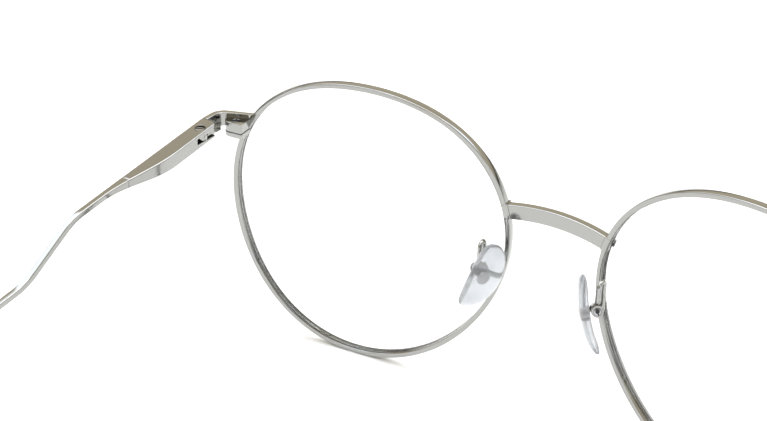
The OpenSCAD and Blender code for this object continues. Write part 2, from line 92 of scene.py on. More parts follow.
rim_low = min(outline_point(math.radians(a), rim_wall / 2)[0].y for a in range(360))
front_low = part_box("left_rim")[0]
lens_level = front_low.z / MM - rim_low
bridge_bow = 0.8
bridge_wall = 1.35
bridge_level = 8.75
nose_side = height_angle(bridge_level, nose=True)
bridge_ends = outline_radius(nose_side) * math.cos(nose_side) * math.sin(wrap)
front_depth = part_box("bridge")[0].y / MM - (bridge_ends - bridge_bow - bridge_wall / 2)
front_origin = Vector((0, front_depth, lens_level))

# ------------ Camera, floor and studio light
# The glasses stand open on a seamless pale sweep, seen from behind and above the wearer's right
# shoulder. A soft box overhead and bright panels light them, and the studio shows in the metal.
camera_turn, camera_rise, camera_roll = (math.radians(a) for a in (32.66, 29.12, 1.58))
eye = front_origin + Vector((-93.97, 193.04, 130.94))
cam_back = Vector((
    -math.sin(camera_turn) * math.cos(camera_rise),
    math.cos(camera_turn) * math.cos(camera_rise),
    math.sin(camera_rise),
))
cam_right = Vector((-math.cos(camera_turn), -math.sin(camera_turn), 0))
cam_up = cam_back.cross(cam_right)
rolled_right = cam_right * math.cos(camera_roll) + cam_up * math.sin(camera_roll)
rolled_up = cam_up * math.cos(camera_roll) - cam_right * math.sin(camera_roll)
camera_data = bpy.data.cameras.new("camera")
camera_data.lens = 75.7
camera_data.sensor_width = 36
camera_data.clip_start = 0.005
camera = bpy.data.objects.new("camera", camera_data)
camera.matrix_world = Matrix.Translation(eye * MM) @ Matrix(
    (rolled_right, rolled_up, cam_back)).transposed().to_4x4()
bpy.context.scene.collection.objects.link(camera)
bpy.context.scene.camera = camera


def feed(tree, socket, value):
    """Links a socket to the one given, or gives it a value of its own."""
    if isinstance(value, bpy.types.NodeSocket):
        tree.links.new(value, socket)
    else:
        socket.default_value = value


def add_node(tree, kind, *values, **named):
    """A new node: settings and sockets by name, and its first sockets in their order."""
    node = tree.nodes.new(kind)
    for name, value in named.items():
        if hasattr(node, name):
            setattr(node, name, value)
        else:
            feed(tree, node.inputs[name.replace("_", " ")], value)
    for socket, value in zip(node.inputs, values):
        feed(tree, socket, value)
    return node


def ramp(tree, share, stops):
    """A colour ramp's colour, from stops that are each a position and a colour."""
    node = add_node(tree, "ShaderNodeValToRGB", share)
    elements = node.color_ramp.elements
    while len(elements) < len(stops):
        elements.new(1.0)
    for element, (position, colour) in zip(elements, stops):
        element.position = position
        element.color = (*colour, 1)
    return node.outputs[0]


def studio_world():
    """A warm grey studio with four wide soft lights, and a dark opening on the camera's side."""
    world = bpy.data.worlds.new("studio")
    world.use_nodes = True
    tree = world.node_tree
    tree.nodes.clear()
    way = add_node(tree, "ShaderNodeTexCoord").outputs["Generated"]
    so_far = ramp(tree, add_node(tree, "ShaderNodeSeparateXYZ", way).outputs["Z"], studio_heights)
    for centre, core, fade, colour in studio_glows:
        facing = add_node(
            tree, "ShaderNodeVectorMath", way, Vector(centre).normalized(), operation="DOT_PRODUCT")
        mask = add_node(
            tree, "ShaderNodeMapRange", interpolation_type="SMOOTHSTEP",
            Value=facing.outputs["Value"], From_Min=math.cos(math.radians(fade)),
            From_Max=math.cos(math.radians(core)))
        mix = add_node(tree, "ShaderNodeMix", data_type="RGBA", Factor=mask.outputs[0])
        tree.links.new(so_far, mix.inputs[6])
        mix.inputs[7].default_value = (*colour, 1)
        so_far = mix.outputs[2]
    light = add_node(tree, "ShaderNodeBackground", so_far)
    add_node(tree, "ShaderNodeOutputWorld", light.outputs[0])
    return world


# The studio's light by height: each stop is how far up from straight down, and its colour.
studio_heights = (
    (0.00, (0.95, 0.95, 0.95)),
    (0.07, (0.90, 0.89, 0.87)),
    (0.10, (0.06, 0.055, 0.05)),
    (0.15, (0.06, 0.055, 0.05)),
    (0.21, (0.80, 0.72, 0.56)),
    (0.40, (0.98, 0.88, 0.68)),
    (0.70, (0.90, 0.81, 0.65)),
    (1.00, (1.00, 0.97, 0.92)),
)
# Each glow: its direction, the half angles in degrees of its core and of its faded edge, its colour.
studio_glows = (
    ((-0.40, -0.50, 0.77), 15, 22, (3.0, 3.2, 3.5)),
    ((0.35, 0.50, 0.80), 14, 22, (2.9, 3.1, 3.4)),
    ((0.57, -0.09, 0.81), 15, 23, (2.9, 3.1, 3.4)),
    ((-0.47, 0.74, 0.49), 8, 15, (0.03, 0.03, 0.03)),
    ((-0.90, 0.30, 0.35), 10, 18, (2.5, 2.65, 2.9)),
)
bpy.context.scene.world = studio_world()
bpy.context.scene.view_settings.view_transform = "Standard"


# One overhead soft light throws the short shadow under the rims.
lamp_place, lamp_target = Vector((0.04, -0.16, 0.60)), Vector((0.01, -0.04, 0))
lamp_width, lamp_watts = 0.40, 1.7
lamp_data = bpy.data.lights.new("top_light", "AREA")
lamp_data.shape = "RECTANGLE"
lamp_data.size = lamp_data.size_y = lamp_width
lamp_data.energy = lamp_watts
lamp = bpy.data.objects.new("top_light", lamp_data)
lamp.location = lamp_place
lamp.rotation_euler = (lamp_place - lamp_target).to_track_quat("Z", "Y").to_euler()
bpy.context.scene.collection.objects.link(lamp)


def new_material(name, **values):
    """A material, its tree and its shader's sockets, with uniform values given by name."""
    made = bpy.data.materials.new(name)
    made.use_nodes = True
    sockets = made.node_tree.nodes["Principled BSDF"].inputs
    for socket, value in values.items():
        sockets[socket.replace("_", " ")].default_value = value
    return made, made.node_tree, sockets


def grain(tree, scale, detail, roughness=0.5, stretch=None):
    """Fine noise fixed to the piece, finer up its height if a stretch is given."""
    place = add_node(tree, "ShaderNodeTexCoord").outputs["Object"]
    if stretch:
        place = add_node(tree, "ShaderNodeMapping", place, Scale=(1.0, 1.0, stretch)).outputs[0]
    return add_node(tree, "ShaderNodeTexNoise", Vector=place, Scale=scale, Detail=detail,
                    Roughness=roughness).outputs["Fac"]


def paper():
    """White matt paper with a faint tooth."""
    made, tree, sockets = new_material("paper", Roughness=0.85)
    tones = (0.3, (0.90, 0.90, 0.90)), (0.7, (0.93, 0.93, 0.93))
    feed(tree, sockets["Base Color"], ramp(tree, grain(tree, 900.0, 3.0), tones))
    return made


floor_mesh = bpy.data.meshes.new("floor")
floor_reach = 3.0
floor_corners = ((-1, -1), (1, -1), (1, 1), (-1, 1))
floor_mesh.from_pydata(
    [(x * floor_reach, y * floor_reach, 0) for x, y in floor_corners], [], [(0, 1, 2, 3)])
floor_mesh.materials.append(paper())
floor = bpy.data.objects.new("floor", floor_mesh)
bpy.context.scene.collection.objects.link(floor)

# ------------ Rims
# Each rim is one length of drawn nickel-silver eyewire, bent to the lens and sawn through at the
# lock. Its outside is slightly crowned, its edges are rolled, and a groove inside holds the lens.
rim_depth = 1.5
edge_roll = 0.14
crown, crown_radius = 0.04, 3.0
groove_width, groove_depth, groove_narrow, groove_edge = 0.6, 0.45, 0.4, 0.05
saw_low, saw_high = 12.06, 12.2
SIDES = (("left", 1), ("right", -1))


def rounded(corners, steps=4):
    """A closed outline whose corners, each a point and a radius, are turned into arcs."""
    points = []
    for i, (x, y, radius) in enumerate(corners):
        here = Vector((x, y))
        before = (Vector(corners[i - 1][:2]) - here).normalized()
        after = (Vector(corners[(i + 1) % len(corners)][:2]) - here).normalized()
        if radius <= 0:
            points.append(here)
            continue
        half = before.angle(after) / 2
        centre = here + (before + after).normalized() * radius / math.sin(half)
        start = here + before * radius / math.tan(half) - centre
        end = here + after * radius / math.tan(half) - centre
        turn = math.atan2(start.x * end.y - start.y * end.x, start.dot(end))
        for k in range(steps + 1):
            a = turn * k / steps
            points.append(centre + Vector((
                start.x * math.cos(a) - start.y * math.sin(a),
                start.x * math.sin(a) + start.y * math.cos(a),
            )))
    return points


def add_sweep(mesh, rings):
    """Skins a list of rings of points into the bmesh, and caps both ends."""
    made = [[mesh.verts.new(p) for p in ring] for ring in rings]
    count = len(made[0])
    for one, two in zip(made, made[1:]):
        for k in range(count):
            mesh.faces.new((one[k], one[(k + 1) % count], two[(k + 1) % count], two[k]))
    mesh.faces.new(list(reversed(made[0])))
    mesh.faces.new(made[-1])


def between(tree, share, low, high):
    """A number between low and high, by a noise."""
    return add_node(tree, "ShaderNodeMapRange", share, To_Min=low, To_Max=high).outputs[0]


def polished_metal(name, colour, roughness, streak):
    """Plated metal with a mirror polish: a faint haze and fine buffing lines."""
    made, tree, sockets = new_material(name, Base_Color=(*colour, 1), Metallic=1.0)
    haze = grain(tree, 420.0, 4.0, 0.6)
    feed(tree, sockets["Roughness"], between(tree, haze, roughness * 0.7, roughness * 1.4))
    buff = grain(tree, streak, 5.0, 0.7, stretch=9.0)
    bump = add_node(tree, "ShaderNodeBump", Strength=0.04, Distance=0.00002, Height=buff)
    feed(tree, sockets["Normal"], bump.outputs[0])
    return made


frame_metal = polished_metal("polished_nickel", (0.335, 0.335, 0.322), 0.10, 900.0)


def finish_piece(name, mesh, *nodes, material=frame_metal, slot="polished_metal", body="front",
                 bevel=0.0, weighted=True, inside=None):
    """Turns a bmesh, in millimetres in the front's frame, into a finished piece on its body."""
    bmesh.ops.recalc_face_normals(mesh, faces=mesh.faces)
    bmesh.ops.translate(mesh, verts=mesh.verts, vec=front_origin)
    bmesh.ops.scale(mesh, verts=mesh.verts, vec=Vector((MM, MM, MM)))
    data = bpy.data.meshes.new(name)
    mesh.to_mesh(data)
    mesh.free()
    data.materials.append(material)
    if inside:
        data.materials.append(inside)
    data.shade_smooth()
    piece = bpy.data.objects.new(name, data)
    bpy.context.scene.collection.objects.link(piece)
    if bevel:
        edge = piece.modifiers.new("edges", "BEVEL")
        edge.width = bevel * MM
        edge.segments = 3
        edge.limit_method = "ANGLE"
        edge.angle_limit = math.radians(32)
    if weighted:
        faces = piece.modifiers.new("flats", "WEIGHTED_NORMAL")
        faces.weight = 100
    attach(piece, body)
    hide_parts(*nodes)


def lens_point(side, out, back, up):
    """A point given in the frame of one lens: out from the nose, back and up."""
    x = lens_spacing / 2 + out * math.cos(wrap) - back * math.sin(wrap)
    return Vector((side * x, out * math.sin(wrap) + back * math.cos(wrap), up))


def rim_section():
    """The eyewire's section: out from the lens, and back."""
    out, back, mouth = rim_wall / 2, rim_depth / 2, groove_width / 2
    floor_in = -out + groove_depth
    return rounded((
        (-out, -back, edge_roll), (out, -back, edge_roll), (out + crown, 0, crown_radius),
        (out, back, edge_roll), (-out, back, edge_roll), (-out, mouth, groove_edge),
        (floor_in, mouth * groove_narrow, groove_edge), (floor_in, -mouth * groove_narrow, groove_edge),
        (-out, -mouth, groove_edge),
    ))


def around(side, angle, section):
    """A section stood across the rim's path at one angle."""
    middle, out = outline_point(angle)
    return [lens_point(side, middle.x + out.x * p.x, p.y, middle.y + out.y * p.x) for p in section]


rim_steps = 288
rim_start = height_angle(saw_high)
rim_end = height_angle(saw_low) + 2 * math.pi
rim_angles = [rim_start + (rim_end - rim_start) * i / rim_steps for i in range(rim_steps + 1)]
for side_name, side in SIDES:
    mesh = bmesh.new()
    add_sweep(mesh, [around(side, angle, rim_section()) for angle in rim_angles])
    finish_piece(f"{side_name}_rim_wire", mesh, f"{side_name}_rim")

# ------------ Lenses
# Each lens is a thin clear meniscus, ground to the outline with a bevel that snaps into the groove.
# Its coating leaves hardly any reflection, so it shows only at a low angle and at its edge.
lens_curve = 115.0
lens_thickness = 1.3
lens_rings = 10
seat = 0.03


def math_node(tree, operation, *values):
    """The result of one sum, from sockets or numbers."""
    return add_node(tree, "ShaderNodeMath", *values, operation=operation).outputs[0]


def lens_glass():
    """Clear coated lens: what it doesn't mirror passes straight through, more so face on."""
    made, tree, sockets = new_material(
        "coated_lens", Base_Color=(0.90, 0.95, 0.97, 1), Metallic=1.0, Roughness=0.03)
    facing = add_node(tree, "ShaderNodeLayerWeight", Blend=0.5).outputs["Facing"]
    sheen = math_node(tree, "MULTIPLY_ADD", math_node(tree, "POWER", facing, 5.0), 0.5, 0.012)
    smear = between(tree, grain(tree, 60.0, 2.0), 0.8, 1.2)
    feed(tree, sockets["Alpha"], math_node(tree, "MULTIPLY", sheen, smear))
    return made


def groove_shade_edge():
    """The lens's ground shoulder, painted near black as the shade where it lies in the metal's groove.
    """
    made, tree, sockets = new_material("ground_lens_edge_painted_shade", Roughness=0.4, Alpha=0.75)
    # These near-black tones are painted shade in the groove, not the glass's own colour.
    tones = (0.3, (0.045, 0.042, 0.036)), (0.7, (0.10, 0.095, 0.085))
    feed(tree, sockets["Base Color"], ramp(tree, grain(tree, 1400.0, 3.0), tones))
    return made


def add_band(mesh, one, two, material=0):
    """Faces between two closed rows of vertices."""
    for k in range(len(one)):
        after = (k + 1) % len(one)
        mesh.faces.new((one[k], two[k], two[after], one[after])).material_index = material


def add_dome(mesh, pole, rows):
    """Faces from one vertex out across closed rows of vertices."""
    first = rows[0]
    for k in range(len(first)):
        mesh.faces.new((pole, first[k], first[(k + 1) % len(first)]))
    for one, two in zip(rows, rows[1:]):
        add_band(mesh, one, two)


clear_lens = lens_glass()
lens_edge = groove_shade_edge()
centre_back = math.sqrt(lens_curve ** 2 - rim_radius ** 2) - rim_depth / 2
edge_in = -rim_wall / 2 - seat
bevel_half, bevel_tip = groove_width / 2 - 2 * seat, 0.05
bevel_out = groove_depth - seat
for side_name, side in SIDES:
    mesh = bmesh.new()
    edge_rows = []
    for surface in (lens_curve, lens_curve - lens_thickness):
        rows = []
        for ring in range(1, lens_rings + 1):
            flats = [outline_point(angle, edge_in)[0] * (ring / lens_rings) for angle in rim_angles]
            rows.append([mesh.verts.new(lens_point(
                side, flat.x, centre_back - math.sqrt(surface ** 2 - flat.length_squared), flat.y))
                for flat in flats])
        edge_rows.append(rows[-1])
        add_dome(mesh, mesh.verts.new(lens_point(side, 0, centre_back - surface, 0)), rows)
    bevel = (0, -bevel_half), (bevel_out, -bevel_tip), (bevel_out, bevel_tip), (0, bevel_half)
    for place, (grow, back) in enumerate(bevel, 1):
        flats = [outline_point(angle, edge_in + grow)[0] for angle in rim_angles]
        edge_rows.insert(
            place, [mesh.verts.new(lens_point(side, flat.x, back, flat.y)) for flat in flats])
    for one, two in zip(edge_rows, edge_rows[1:]):
        # The shoulders, where the lens enters the rim's groove, take the painted groove shade.
        shoulder = one is edge_rows[0] or two is edge_rows[-1]
        add_band(mesh, one, two, material=1 if shoulder else 0)
    finish_piece(f"{side_name}_lens_disc", mesh, f"{side_name}_lens", material=clear_lens,
                 slot="clear_lens", inside=lens_edge)

# ------------ Bridge
# The bridge is a flat bar, stamped with a slight bow and arch. Each end is shaped to a saddle that
# wraps the rim's outside and its front, where it is silver-soldered and polished over.
bridge_height = 2.5
bridge_rise = 0.75
half_span = lens_point(1, outline_radius(nose_side) * math.cos(nose_side), 0, 0).x
bar_edge = 0.16
bar_steps = 48
bar_lap = 0.02
saddle_front, saddle_out, saddle_back, saddle_lap = 0.3, 0.25, 0.04, 0.03
saddle_down, saddle_up = 1.2, 1.22
tab_reach, tab_half, tab_edge, tab_lap = 0.3, 0.65, 0.06, 0.05


def rounded_box(left, right, low, high, *radii, steps=4):
    """A box outline with one radius, or one for each corner from the lower left round."""
    corners = (left, low), (right, low), (right, high), (left, high)
    return rounded([(*corner, radius) for corner, radius in zip(
        corners, radii if len(radii) > 1 else radii * 4)], steps)


def sagitta(x, height):
    """How far an arc of that rise over the half span has fallen at x."""
    radius = (half_span ** 2 + height ** 2) / (2 * height)
    return radius - math.sqrt(radius ** 2 - x ** 2)


def ring_block(mesh, side, low, high, section, steps=8):
    """A block of the given section that follows the rim's nose side from one height to another."""
    start, end = height_angle(low, nose=True), height_angle(high, nose=True)
    turns = [start + (end - start) * i / steps for i in range(steps + 1)]
    add_sweep(mesh, [around(side, angle, section) for angle in turns])


mesh = bmesh.new()
rings = []
bar_section = rounded_box(
    -bridge_wall / 2, bridge_wall / 2, -bridge_height / 2, bridge_height / 2, bar_edge)
for i in range(bar_steps + 1):
    x = (half_span + bar_lap) * (2 * i / bar_steps - 1)
    back = bridge_ends - bridge_bow + sagitta(x, bridge_bow)
    up = bridge_level + bridge_rise - sagitta(x, bridge_rise)
    rings.append([Vector((x, back + p.x, up + p.y)) for p in bar_section])
add_sweep(mesh, rings)
rim_face = -rim_depth / 2
saddle = rounded_box(
    -rim_wall / 2 + saddle_lap, rim_wall / 2 + saddle_out, rim_face - saddle_front,
    saddle_back - rim_face, 0.1, 0.15, 0.15, 0.1)
tab = rounded_box(-rim_wall / 2 - tab_reach, 0, rim_face - saddle_front, rim_face - tab_lap, tab_edge)
for side_name, side in SIDES:
    ring_block(mesh, side, bridge_level - saddle_down, bridge_level + saddle_up, saddle)
    ring_block(mesh, side, bridge_level - tab_half, bridge_level + tab_half, tab)
finish_piece("bridge_bar", mesh, "bridge", bevel=0.08)

# ------------ End pieces
# Each end piece is a flat strip, soldered round the front of the rim at its upper outer corner. It
# runs outwards, turns back to the hinge and keeps its full height up to the temple.
end_level, end_height, end_wall, end_angle = 12.2, 2.5, 1.0, math.radians(24)
end_reach = 2.2
end_round = 0.16
hinge_depth = 11.4
temple_width = 3.0
nose_share = 0.87
joint_gap = 0.15
end_bend = 2.2
temple_out = end_reach + max(
    lens_point(1, outline_point(math.radians(a), rim_wall / 2)[0].x, 0, 0).x for a in range(-90, 90))
end_top = end_level + end_height
strip_lead, strip_front = 0.1, -0.25
end_lift = height_angle(end_level + end_height / 2)
end_start = lens_point(1, outline_radius(end_lift) * math.cos(end_lift) - rim_wall, strip_front, 0)
end_back = hinge_depth - nose_share * temple_width - joint_gap
bend_centre_x = temple_out - end_wall / 2 - end_bend
end_run = (bend_centre_x + end_bend * math.sin(end_angle) - end_start.x) / math.cos(end_angle)
bend_centre_y = end_start.y + end_run * math.sin(end_angle) + end_bend * math.cos(end_angle)


def side_point(side, x, y, z):
    """A point in the front's frame, with x outwards on either side."""
    return Vector((side * x, y, z))


def end_path():
    """Middle line of the strip seen from above, with the way out of its outer face."""
    out = Vector((math.sin(end_angle), -math.cos(end_angle)))
    yield Vector(end_start[:2]), out
    steps = 20
    for i in range(steps + 1):
        a = (end_angle - math.pi / 2) * (1 - i / steps)
        out = Vector((math.cos(a), math.sin(a)))
        yield Vector((bend_centre_x, bend_centre_y)) + end_bend * out, out
    yield Vector((bend_centre_x + end_bend, end_back)), Vector((1, 0))


strip = rounded_box(-end_wall / 2, end_wall / 2, end_level, end_top, end_round)
for side_name, side in SIDES:
    mesh = bmesh.new()
    rings = [[side_point(side, middle.x + out.x * p.x, middle.y + out.y * p.x, p.y) for p in strip]
             for middle, out in end_path()]
    for point, p in zip(rings[0], strip):
        angle = height_angle(p.y)
        reach = outline_radius(angle) * math.cos(angle) - strip_lead
        point.x = side * lens_point(1, reach, p.x + strip_front, 0).x
    add_sweep(mesh, rings)
    finish_piece(f"{side_name}_end_strip", mesh, f"{side_name}_end_piece", bevel=0.06)

# ------------ Rim locks
# Two small blocks are soldered to the sawn ends of the rim. A screw pulls the upper one down on the
# lower one and closes the rim on the lens. The outer end of each block is round.
lock_above, lock_below, lock_length, lock_depth = 1.65, 0.95, 3.7, 3.0
lock_front, lock_inset = 0.3, 0.45
lock_lift = height_angle(end_level)
lock_out = outline_radius(lock_lift) * math.cos(lock_lift) - lock_inset
lock_screw_share = 0.43, 0.62
lock_screw_out = lock_out + lock_screw_share[0] * lock_length
lock_screw_back = lock_front + lock_screw_share[1] * lock_depth
lock_head, lock_sink, head_room = 0.61, 0.5, 0.1

# Faces inside cuts, counterbores and screw slots are near black on a rougher metal: grime plus painted
# shade in the recesses.
recess_grime_and_shade = polished_metal("recess_grime_and_painted_shade", (0.055, 0.052, 0.047), 0.40, 900.0)


def carve(piece, cutter, operation="DIFFERENCE"):
    """Cuts one closed object out of another, or joins it on, and leaves a plain mesh."""
    cut = piece.modifiers.new("cut", "BOOLEAN")
    cut.operation, cut.object, cut.solver = operation, cutter, "EXACT"
    bpy.context.view_layer.update()
    evaluated = piece.evaluated_get(bpy.context.evaluated_depsgraph_get())
    carved = bpy.data.meshes.new_from_object(evaluated)
    piece.modifiers.remove(cut)
    piece.data = carved
    bpy.data.objects.remove(cutter)


def rough_piece(mesh, cutter=False):
    """A closed bmesh in the front's frame as an object, to be carved or to carve with."""
    bmesh.ops.recalc_face_normals(mesh, faces=mesh.faces)
    # A cutter's faces get the second material, the grime and painted shade of the recesses.
    for face in mesh.faces:
        face.material_index = 1 if cutter else 0
    data = bpy.data.meshes.new("rough")
    mesh.to_mesh(data)
    mesh.free()
    data.materials.append(frame_metal)
    data.materials.append(recess_grime_and_shade)
    made = bpy.data.objects.new("rough", data)
    bpy.context.scene.collection.objects.link(made)
    return made


def add_prism(mesh, outline, low, high, place):
    """Stands a flat outline up from low to high; place turns its x, y and height into a point."""
    add_sweep(mesh, [[place(p.x, p.y, level) for p in outline] for level in (low, high)])


def rough_prism(outline, low, high, place, cutter=False):
    """A prism as an object, to be carved or to carve with."""
    mesh = bmesh.new()
    add_prism(mesh, outline, low, high, place)
    return rough_piece(mesh, cutter)


def finish_carved(name, rough, node, **more):
    """Finishes a carved object as a piece, with the recess metal, darkened by grime and painted shade,
    inside its cuts.
    """
    mesh = bmesh.new()
    mesh.from_mesh(rough.data)
    bpy.data.objects.remove(rough)
    finish_piece(name, mesh, node, inside=recess_grime_and_shade, **more)


def circle(radius, turns=40, middle=(0, 0)):
    """A round outline."""
    return [Vector((
        middle[0] + radius * math.cos(2 * math.pi * k / turns),
        middle[1] + radius * math.sin(2 * math.pi * k / turns))) for k in range(turns)]


lock_round = 0.98 * lock_depth / 2
lock_plan = rounded_box(
    lock_out, lock_out + lock_length, lock_front, lock_front + lock_depth,
    0, lock_round, lock_round, 0, steps=10)
lock_top = end_level + lock_above
for side_name, side in SIDES:
    in_lens = partial(lens_point, side)
    for part, low, high in (("upper", saw_high, lock_top), ("lower", end_level - lock_below, saw_low)):
        block = rough_prism(lock_plan, low, high, in_lens)
        if part == "upper":
            bore = circle(lock_head + head_room, middle=(lock_screw_out, lock_screw_back))
            carve(block, rough_prism(bore, high - lock_sink, high + 1, in_lens, cutter=True))
        finish_carved(f"{side_name}_lock_{part}_block", block, f"{side_name}_lock_{part}", bevel=0.09)

# ------------ Screws
# Six small steel screws hold the glasses together: one in each rim lock, hinge and pad box. Each is
# turned with a flat cheese head and a slot sawn across it. Their heads sit down in counterbores.
UP = Vector((0, 0, 1))
screw_steel = polished_metal("bright_screw_steel", (0.40, 0.42, 0.45), 0.14, 1500.0)


def new_tree(name, sizes):
    """A tree of geometry nodes with a geometry, a material and the named sizes coming in."""
    tree = bpy.data.node_groups.new(name, "GeometryNodeTree")
    for given, kind in (("Geometry", "Geometry"), ("Material", "Material"), *sizes):
        tree.interface.new_socket(name=given, in_out="INPUT", socket_type="NodeSocket" + kind)
    tree.interface.new_socket(name="Geometry", in_out="OUTPUT", socket_type="NodeSocketGeometry")
    return tree, tree.nodes.new("NodeGroupInput")


def end_tree(tree, given, shape):
    """Ends a tree: real mesh, in its material."""
    real = add_node(tree, "GeometryNodeRealizeInstances", shape)
    finish = add_node(
        tree, "GeometryNodeSetMaterial", Geometry=real.outputs[0], Material=given.outputs["Material"])
    add_node(tree, "NodeGroupOutput", finish.outputs[0])
    return tree


def vector_node(tree, x=0.0, y=0.0, z=0.0):
    """A vector put together from sockets or numbers."""
    return add_node(tree, "ShaderNodeCombineXYZ", x, y, z).outputs[0]


def moved(tree, shape, **places):
    """A shape moved or turned."""
    return add_node(tree, "GeometryNodeTransform", Geometry=shape, **places).outputs[0]


def screw_tree():
    """A slotted screw whose head stands on its seat, along any axis."""
    tree, given = new_tree("slotted_screw", (
        ("Head Radius", "Float"), ("Head Height", "Float"), ("Shank Radius", "Float"),
        ("Shank Length", "Float"), ("Slot Width", "Float"), ("Slot Depth", "Float"),
        ("Slot Turn", "Float"), ("Seat", "Vector"), ("Axis", "Vector")))
    size = given.outputs
    scaled = partial(math_node, tree, "MULTIPLY")
    lift = vector_node(tree, z=scaled(size["Head Height"], 0.5))
    head = add_node(tree, "GeometryNodeMeshCylinder", Vertices=48, Radius=size["Head Radius"],
                    Depth=size["Head Height"])
    slot = add_node(tree, "GeometryNodeMeshCube", Size=vector_node(
        tree, scaled(size["Head Radius"], 3.0), size["Slot Width"], scaled(size["Slot Depth"], 2.0)))
    turned = moved(
        tree, slot.outputs[0], Translation=lift, Rotation=vector_node(tree, z=size["Slot Turn"]))
    sawn = add_node(tree, "GeometryNodeMeshBoolean", operation="DIFFERENCE", solver="EXACT",
                    Mesh_1=head.outputs["Mesh"], Mesh_2=turned)
    shank = add_node(tree, "GeometryNodeMeshCylinder", Vertices=32, Radius=size["Shank Radius"],
                     Depth=size["Shank Length"])
    dropped = vector_node(tree, z=scaled(size["Shank Length"], -0.49))
    whole = add_node(tree, "GeometryNodeJoinGeometry")
    tree.links.new(moved(tree, sawn.outputs["Mesh"], Translation=lift), whole.inputs[0])
    tree.links.new(moved(tree, shank.outputs["Mesh"], Translation=dropped), whole.inputs[0])
    way = add_node(tree, "FunctionNodeAlignRotationToVector", axis="Z", Vector=size["Axis"])
    seated = moved(tree, whole.outputs[0], Translation=size["Seat"], Rotation=way.outputs[0])
    return end_tree(tree, given, seated)


def grown_mesh(tree, base, sizes):
    """What a tree makes of a base bmesh with the given sizes, as a plain bmesh."""
    data = bpy.data.meshes.new("base")
    base.to_mesh(data)
    base.free()
    stand = bpy.data.objects.new("base", data)
    shape = stand.modifiers.new("shape", "NODES")
    shape.node_group = tree
    for item in tree.interface.items_tree:
        if item.in_out == "INPUT" and item.name in sizes:
            shape[item.identifier] = sizes[item.name]
    bpy.context.scene.collection.objects.link(stand)
    bpy.context.view_layer.update()
    made = bpy.data.meshes.new_from_object(stand.evaluated_get(bpy.context.evaluated_depsgraph_get()))
    stand.modifiers.remove(shape)
    bpy.data.objects.remove(stand)
    mesh = bmesh.new()
    mesh.from_mesh(made)
    bmesh.ops.remove_doubles(mesh, verts=mesh.verts, dist=0.0005)
    return mesh


slotted_screw = screw_tree()


def add_screw(name, node, body, seat, axis, turn, head, head_height, shank, shank_length, slot):
    """Turns one screw and seats it; inside its slot it takes the same grime and painted shade as the
    other recesses.
    """
    seat, axis, depth, near = Vector(seat), Vector(axis).normalized(), head_height * 0.75, 0.002
    mesh = grown_mesh(slotted_screw, bmesh.new(), {
        "Material": screw_steel, "Head Radius": head, "Head Height": head_height,
        "Shank Radius": shank, "Shank Length": shank_length, "Slot Width": slot, "Slot Depth": depth,
        "Slot Turn": turn, "Seat": tuple(seat), "Axis": tuple(axis)})
    across = UP.rotation_difference(axis) @ Vector((-math.sin(turn), math.cos(turn), 0))
    # Faces down inside the slot get the recess grime and painted shade.
    for face in mesh.faces:
        from_seat = face.calc_center_median() - seat
        in_slot = abs(from_seat.dot(across)) < slot / 2 + near
        below_top = head_height - depth - near < from_seat.dot(axis) < head_height - near
        face.material_index = 1 if in_slot and below_top else 0
    finish_piece(name, mesh, node, material=screw_steel, slot="screw_steel", body=body, bevel=0.03,
                 inside=recess_grime_and_shade)


for side_name, side in SIDES:
    add_screw(f"{side_name}_lock_cheese_head", f"{side_name}_lock_screw", "front",
              lens_point(side, lock_screw_out, lock_screw_back, lock_top - lock_sink), UP,
              turn=side * math.radians(60), head=lock_head, head_height=0.35, shank=0.35,
              shank_length=2.0, slot=0.2)

# ------------ Hinge tongues
# The front's half of each hinge is one flat tongue, milled from nickel silver and soldered inside the
# end piece. Its round end turns between the two ears of the temple, on the hinge screw.
temple_fall = math.radians(7.2)
temple_height = 2.5
step_start, step_length, step_drop, bend_soft = 29.2, 10.7, 4.9, 2.0
hinge_inset = 0.6
hinge_x = temple_out - hinge_inset * temple_width
knuckle_r = 0.4 * temple_width
tongue_height, tongue_eye, tongue_lead, tongue_share = 0.9, 0.54, 1.6, 0.54
tongue_half = hinge_inset * temple_width - end_wall


def soft_ramp(u, soft):
    """A ramp that starts from nothing in a short curve."""
    if u < -soft:
        return 0.0
    return u if u > soft else (u + soft) ** 2 / (4 * soft)


def temple_top(y):
    """Level of the temple's upper surface: a falling line with one rounded step."""
    past = y - hinge_depth - step_start
    step = (soft_ramp(past, bend_soft) - soft_ramp(past - step_length, bend_soft)) / step_length
    return end_top - math.tan(temple_fall) * (y - end_back) - step_drop * step


hinge_top = temple_top(hinge_depth)
tongue_mid = hinge_top - tongue_share * temple_height


def round_tongue():
    """Plan of the tongue: straight sides that run into the round knuckle."""
    reach = math.sqrt(knuckle_r ** 2 - tongue_half ** 2)
    start = math.atan2(-reach, -tongue_half)
    turn = 2 * math.pi - 2 * math.atan2(tongue_half, reach)
    points = [Vector((hinge_x + way * tongue_half, end_back - tongue_lead)) for way in (1, -1)]
    steps = 32
    for k in range(steps + 1):
        a = start - turn * k / steps
        points.append(Vector((
            hinge_x + knuckle_r * math.cos(a), hinge_depth + knuckle_r * math.sin(a))))
    return points


hinge_place = hinge_x, hinge_depth
for side_name, side in SIDES:
    on_side = partial(side_point, side)
    tongue = rough_prism(
        round_tongue(), tongue_mid - tongue_height / 2, tongue_mid + tongue_height / 2, on_side)
    eye_hole = circle(tongue_eye, middle=hinge_place)
    carve(tongue, rough_prism(eye_hole, tongue_mid - 1, tongue_mid + 1, on_side, cutter=True))
    finish_carved(f"{side_name}_tongue_leaf", tongue, f"{side_name}_hinge_tongue", bevel=0.05)

